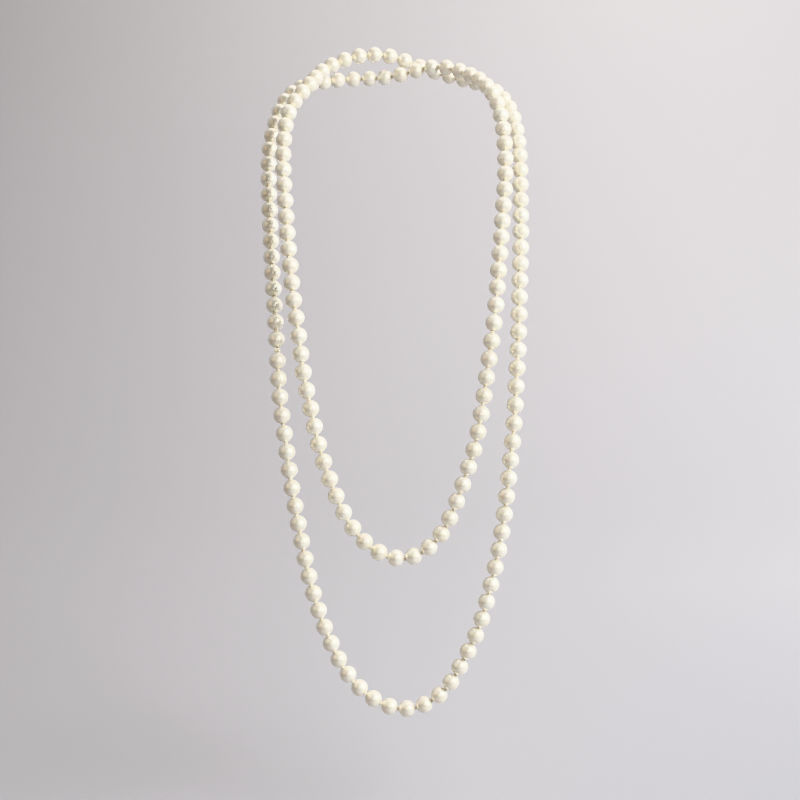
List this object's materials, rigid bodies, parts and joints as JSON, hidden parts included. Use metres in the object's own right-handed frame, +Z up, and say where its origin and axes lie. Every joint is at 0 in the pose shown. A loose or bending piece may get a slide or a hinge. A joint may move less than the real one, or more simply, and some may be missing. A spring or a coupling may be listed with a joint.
{
  "type": "pearl rope necklace",
  "caption": "Endless rope of round cream pearls knotted on silk, worn doubled: an inner row and a longer outer row hang from the neck.",
  "frame": {"origin": "middle of the neck opening, at the height of the nape", "axes": "+Z up along the wearer's neck, the rows hang towards -Y (the wearer's front), +X to the right of somebody who faces the wearer"},
  "size_m": [0.1322, 0.1656, 0.3096],
  "materials": {
    "pearl": "pearl lacquer, soft satin gloss",
    "silk": "twisted silk"
  },
  "bodies": {
    "nape": {"pearls_nape_over": "pearl", "pearls_nape_under": "pearl", "silk_nape_over": "silk", "silk_nape_under": "silk"},
    "inner_collar": {"pearls_inner_collar_left": "pearl", "pearls_inner_collar_right": "pearl", "silk_inner_collar_left": "silk", "silk_inner_collar_right": "silk"},
    "inner_chest": {"pearls_inner_chest_left": "pearl", "pearls_inner_chest_right": "pearl", "silk_inner_chest_left": "silk", "silk_inner_chest_right": "silk"},
    "inner_bow": {"silk_inner_bow": "silk"},
    "outer_collar": {"pearls_outer_collar_left": "pearl", "pearls_outer_collar_right": "pearl", "silk_outer_collar_left": "silk", "silk_outer_collar_right": "silk"},
    "outer_chest": {"pearls_outer_chest_left": "pearl", "pearls_outer_chest_right": "pearl", "silk_outer_chest_left": "silk", "silk_outer_chest_right": "silk", "finishing_knot": "silk"},
    "outer_waist": {"pearls_outer_waist_left": "pearl", "pearls_outer_waist_right": "pearl", "silk_outer_waist_left": "silk", "silk_outer_waist_right": "silk"},
    "outer_bow": {"silk_outer_bow": "silk"},
    "inner_bow_pearl_01": {"pearl_inner_bow_01": "pearl"},
    "inner_bow_pearl_02": {"pearl_inner_bow_02": "pearl"},
    "inner_bow_pearl_03": {"pearl_inner_bow_03": "pearl"},
    "inner_bow_pearl_04": {"pearl_inner_bow_04": "pearl"},
    "inner_bow_pearl_05": {"pearl_inner_bow_05": "pearl"},
    "inner_bow_pearl_06": {"pearl_inner_bow_06": "pearl"},
    "inner_bow_pearl_07": {"pearl_inner_bow_07": "pearl"},
    "inner_bow_pearl_08": {"pearl_inner_bow_08": "pearl"},
    "inner_bow_pearl_09": {"pearl_inner_bow_09": "pearl"},
    "inner_bow_pearl_10": {"pearl_inner_bow_10": "pearl"},
    "inner_bow_pearl_11": {"pearl_inner_bow_11": "pearl"},
    "inner_bow_pearl_12": {"pearl_inner_bow_12": "pearl"},
    "inner_bow_pearl_13": {"pearl_inner_bow_13": "pearl"},
    "inner_bow_pearl_14": {"pearl_inner_bow_14": "pearl"},
    "inner_bow_pearl_15": {"pearl_inner_bow_15": "pearl"},
    "inner_bow_pearl_16": {"pearl_inner_bow_16": "pearl"},
    "outer_bow_pearl_01": {"pearl_outer_bow_01": "pearl"},
    "outer_bow_pearl_02": {"pearl_outer_bow_02": "pearl"},
    "outer_bow_pearl_03": {"pearl_outer_bow_03": "pearl"},
    "outer_bow_pearl_04": {"pearl_outer_bow_04": "pearl"},
    "outer_bow_pearl_05": {"pearl_outer_bow_05": "pearl"},
    "outer_bow_pearl_06": {"pearl_outer_bow_06": "pearl"},
    "outer_bow_pearl_07": {"pearl_outer_bow_07": "pearl"},
    "outer_bow_pearl_08": {"pearl_outer_bow_08": "pearl"},
    "outer_bow_pearl_09": {"pearl_outer_bow_09": "pearl"},
    "outer_bow_pearl_10": {"pearl_outer_bow_10": "pearl"},
    "outer_bow_pearl_11": {"pearl_outer_bow_11": "pearl"},
    "outer_bow_pearl_12": {"pearl_outer_bow_12": "pearl"},
    "outer_bow_pearl_13": {"pearl_outer_bow_13": "pearl"},
    "outer_bow_pearl_14": {"pearl_outer_bow_14": "pearl"},
    "outer_bow_pearl_15": {"pearl_outer_bow_15": "pearl"},
    "outer_bow_pearl_16": {"pearl_outer_bow_16": "pearl"}
  },
  "joints": [
    {"name": "inner_collar_swing", "type": "hinge", "parent": "nape", "child": "inner_collar", "pos_m": [-0.00145, -0.01895, -0.03212], "axis": [-0.9998, 0.0124, 0.0168], "range_deg": [0, 15]},
    {"name": "inner_chest_swing", "type": "hinge", "parent": "inner_collar", "child": "inner_chest", "pos_m": [-0.00118, -0.06894, -0.10227], "axis": [-0.9997, 0.009, 0.0221], "range_deg": [0, 30]},
    {"name": "inner_bow_swing", "type": "hinge", "parent": "inner_chest", "child": "inner_bow", "pos_m": [0.00064, -0.08836, -0.17172], "axis": [-0.9969, -0.0095, -0.0783], "range_deg": [0, 30]},
    {"name": "outer_collar_swing", "type": "hinge", "parent": "nape", "child": "outer_collar", "pos_m": [-0.0017, -0.0142, -0.04154], "axis": [-0.9995, 0.0078, -0.0307], "range_deg": [0, 15]},
    {"name": "outer_chest_swing", "type": "hinge", "parent": "outer_collar", "child": "outer_chest", "pos_m": [-0.0005, -0.06375, -0.10693], "axis": [-0.9982, 0.0554, 0.0247], "range_deg": [0, 30]},
    {"name": "outer_waist_swing", "type": "hinge", "parent": "outer_chest", "child": "outer_waist", "pos_m": [0.00082, -0.09217, -0.1794], "axis": [-0.9993, 0.0144, 0.0342], "range_deg": [0, 25]},
    {"name": "outer_bow_swing", "type": "hinge", "parent": "outer_waist", "child": "outer_bow", "pos_m": [0.00137, -0.10069, -0.24696], "axis": [-0.9987, 0.0186, 0.0469], "range_deg": [0, 25]},
    {"name": "inner_bow_pearl_01_spin", "type": "hinge", "parent": "inner_bow", "child": "inner_bow_pearl_01", "pos_m": [-0.03453, -0.08946, -0.17867], "axis": [0.3069, -0.1725, -0.936], "continuous": true},
    {"name": "inner_bow_pearl_02_spin", "type": "hinge", "parent": "inner_bow", "child": "inner_bow_pearl_02", "pos_m": [-0.03175, -0.09083, -0.18677], "axis": [0.3343, -0.1448, -0.9313], "continuous": true},
    {"name": "inner_bow_pearl_03_spin", "type": "hinge", "parent": "inner_bow", "child": "inner_bow_pearl_03", "pos_m": [-0.02875, -0.09191, -0.19477], "axis": [0.3618, -0.1059, -0.9262], "continuous": true},
    {"name": "inner_bow_pearl_04_spin", "type": "hinge", "parent": "inner_bow", "child": "inner_bow_pearl_04", "pos_m": [-0.02531, -0.09281, -0.20263], "axis": [0.4366, -0.1008, -0.894], "continuous": true},
    {"name": "inner_bow_pearl_05_spin", "type": "hinge", "parent": "inner_bow", "child": "inner_bow_pearl_05", "pos_m": [-0.02099, -0.09374, -0.21009], "axis": [0.5571, -0.1147, -0.8225], "continuous": true},
    {"name": "inner_bow_pearl_06_spin", "type": "hinge", "parent": "inner_bow", "child": "inner_bow_pearl_06", "pos_m": [-0.01547, -0.09473, -0.21662], "axis": [0.7193, -0.1143, -0.6853], "continuous": true},
    {"name": "inner_bow_pearl_07_spin", "type": "hinge", "parent": "inner_bow", "child": "inner_bow_pearl_07", "pos_m": [-0.00861, -0.09556, -0.22164], "axis": [0.8731, -0.0765, -0.4814], "continuous": true},
    {"name": "inner_bow_pearl_08_spin", "type": "hinge", "parent": "inner_bow", "child": "inner_bow_pearl_08", "pos_m": [-0.00056, -0.09594, -0.2244], "axis": [0.9877, -0.0124, -0.1558], "continuous": true},
    {"name": "inner_bow_pearl_09_spin", "type": "hinge", "parent": "inner_bow", "child": "inner_bow_pearl_09", "pos_m": [0.00779, -0.09582, -0.22352], "axis": [0.934, 0.0389, 0.355], "continuous": true},
    {"name": "inner_bow_pearl_10_spin", "type": "hinge", "parent": "inner_bow", "child": "inner_bow_pearl_10", "pos_m": [0.01513, -0.09521, -0.21924], "axis": [0.7624, 0.104, 0.6387], "continuous": true},
    {"name": "inner_bow_pearl_11_spin", "type": "hinge", "parent": "inner_bow", "child": "inner_bow_pearl_11", "pos_m": [0.02077, -0.09424, -0.21293], "axis": [0.5498, 0.1202, 0.8266], "continuous": true},
    {"name": "inner_bow_pearl_12_spin", "type": "hinge", "parent": "inner_bow", "child": "inner_bow_pearl_12", "pos_m": [0.02491, -0.0932, -0.20541], "axis": [0.404, 0.1213, 0.9067], "continuous": true},
    {"name": "inner_bow_pearl_13_spin", "type": "hinge", "parent": "inner_bow", "child": "inner_bow_pearl_13", "pos_m": [0.0281, -0.09213, -0.19741], "axis": [0.3318, 0.1233, 0.9352], "continuous": true},
    {"name": "inner_bow_pearl_14_spin", "type": "hinge", "parent": "inner_bow", "child": "inner_bow_pearl_14", "pos_m": [0.0309, -0.09103, -0.18933], "axis": [0.317, 0.1317, 0.9392], "continuous": true},
    {"name": "inner_bow_pearl_15_spin", "type": "hinge", "parent": "inner_bow", "child": "inner_bow_pearl_15", "pos_m": [0.0336, -0.08986, -0.18122], "axis": [0.3095, 0.1406, 0.9404], "continuous": true},
    {"name": "inner_bow_pearl_16_spin", "type": "hinge", "parent": "inner_bow", "child": "inner_bow_pearl_16", "pos_m": [0.03605, -0.08863, -0.17299], "axis": [0.2538, 0.1431, 0.9566], "continuous": true},
    {"name": "outer_bow_pearl_01_spin", "type": "hinge", "parent": "outer_bow", "child": "outer_bow_pearl_01", "pos_m": [-0.03735, -0.10046, -0.2492], "axis": [0.2976, -0.1192, -0.9472], "continuous": true},
    {"name": "outer_bow_pearl_02_spin", "type": "hinge", "parent": "outer_bow", "child": "outer_bow_pearl_02", "pos_m": [-0.0346, -0.10144, -0.25738], "axis": [0.3362, -0.1054, -0.9359], "continuous": true},
    {"name": "outer_bow_pearl_03_spin", "type": "hinge", "parent": "outer_bow", "child": "outer_bow_pearl_03", "pos_m": [-0.03149, -0.10232, -0.2654], "axis": [0.3833, -0.0981, -0.9184], "continuous": true},
    {"name": "outer_bow_pearl_04_spin", "type": "hinge", "parent": "outer_bow", "child": "outer_bow_pearl_04", "pos_m": [-0.02791, -0.10317, -0.27318], "axis": [0.4484, -0.1001, -0.8882], "continuous": true},
    {"name": "outer_bow_pearl_05_spin", "type": "hinge", "parent": "outer_bow", "child": "outer_bow_pearl_05", "pos_m": [-0.02354, -0.10404, -0.28059], "axis": [0.5594, -0.1013, -0.8227], "continuous": true},
    {"name": "outer_bow_pearl_06_spin", "type": "hinge", "parent": "outer_bow", "child": "outer_bow_pearl_06", "pos_m": [-0.01805, -0.10491, -0.28722], "axis": [0.7048, -0.0991, -0.7024], "continuous": true},
    {"name": "outer_bow_pearl_07_spin", "type": "hinge", "parent": "outer_bow", "child": "outer_bow_pearl_07", "pos_m": [-0.01141, -0.10576, -0.29258], "axis": [0.8359, -0.0986, -0.5399], "continuous": true},
    {"name": "outer_bow_pearl_08_spin", "type": "hinge", "parent": "outer_bow", "child": "outer_bow_pearl_08", "pos_m": [-0.00372, -0.10654, -0.29625], "axis": [0.9467, -0.0818, -0.3116], "continuous": true},
    {"name": "outer_bow_pearl_09_spin", "type": "hinge", "parent": "outer_bow", "child": "outer_bow_pearl_09", "pos_m": [0.00472, -0.10692, -0.29727], "axis": [0.9972, -0.0064, 0.0744], "continuous": true},
    {"name": "outer_bow_pearl_10_spin", "type": "hinge", "parent": "outer_bow", "child": "outer_bow_pearl_10", "pos_m": [0.01298, -0.10672, -0.29514], "axis": [0.9073, 0.0528, 0.4172], "continuous": true},
    {"name": "outer_bow_pearl_11_spin", "type": "hinge", "parent": "outer_bow", "child": "outer_bow_pearl_11", "pos_m": [0.02012, -0.10616, -0.29051], "axis": [0.7497, 0.0783, 0.6572], "continuous": true},
    {"name": "outer_bow_pearl_12_spin", "type": "hinge", "parent": "outer_bow", "child": "outer_bow_pearl_12", "pos_m": [0.02568, -0.10537, -0.28407], "axis": [0.54, 0.1035, 0.8353], "continuous": true},
    {"name": "outer_bow_pearl_13_spin", "type": "hinge", "parent": "outer_bow", "child": "outer_bow_pearl_13", "pos_m": [0.02997, -0.10446, -0.27658], "axis": [0.4459, 0.1075, 0.8886], "continuous": true},
    {"name": "outer_bow_pearl_14_spin", "type": "hinge", "parent": "outer_bow", "child": "outer_bow_pearl_14", "pos_m": [0.03384, -0.10356, -0.26889], "axis": [0.4496, 0.099, 0.8877], "continuous": true},
    {"name": "outer_bow_pearl_15_spin", "type": "hinge", "parent": "outer_bow", "child": "outer_bow_pearl_15", "pos_m": [0.03741, -0.10272, -0.2611], "axis": [0.3783, 0.097, 0.9206], "continuous": true},
    {"name": "outer_bow_pearl_16_spin", "type": "hinge", "parent": "outer_bow", "child": "outer_bow_pearl_16", "pos_m": [0.04022, -0.10187, -0.25298], "axis": [0.2719, 0.1002, 0.9571], "continuous": true}
  ],
  "couplings": [
    {"joint": "outer_collar_swing", "follows": "inner_collar_swing", "ratio": 1}
  ]
}
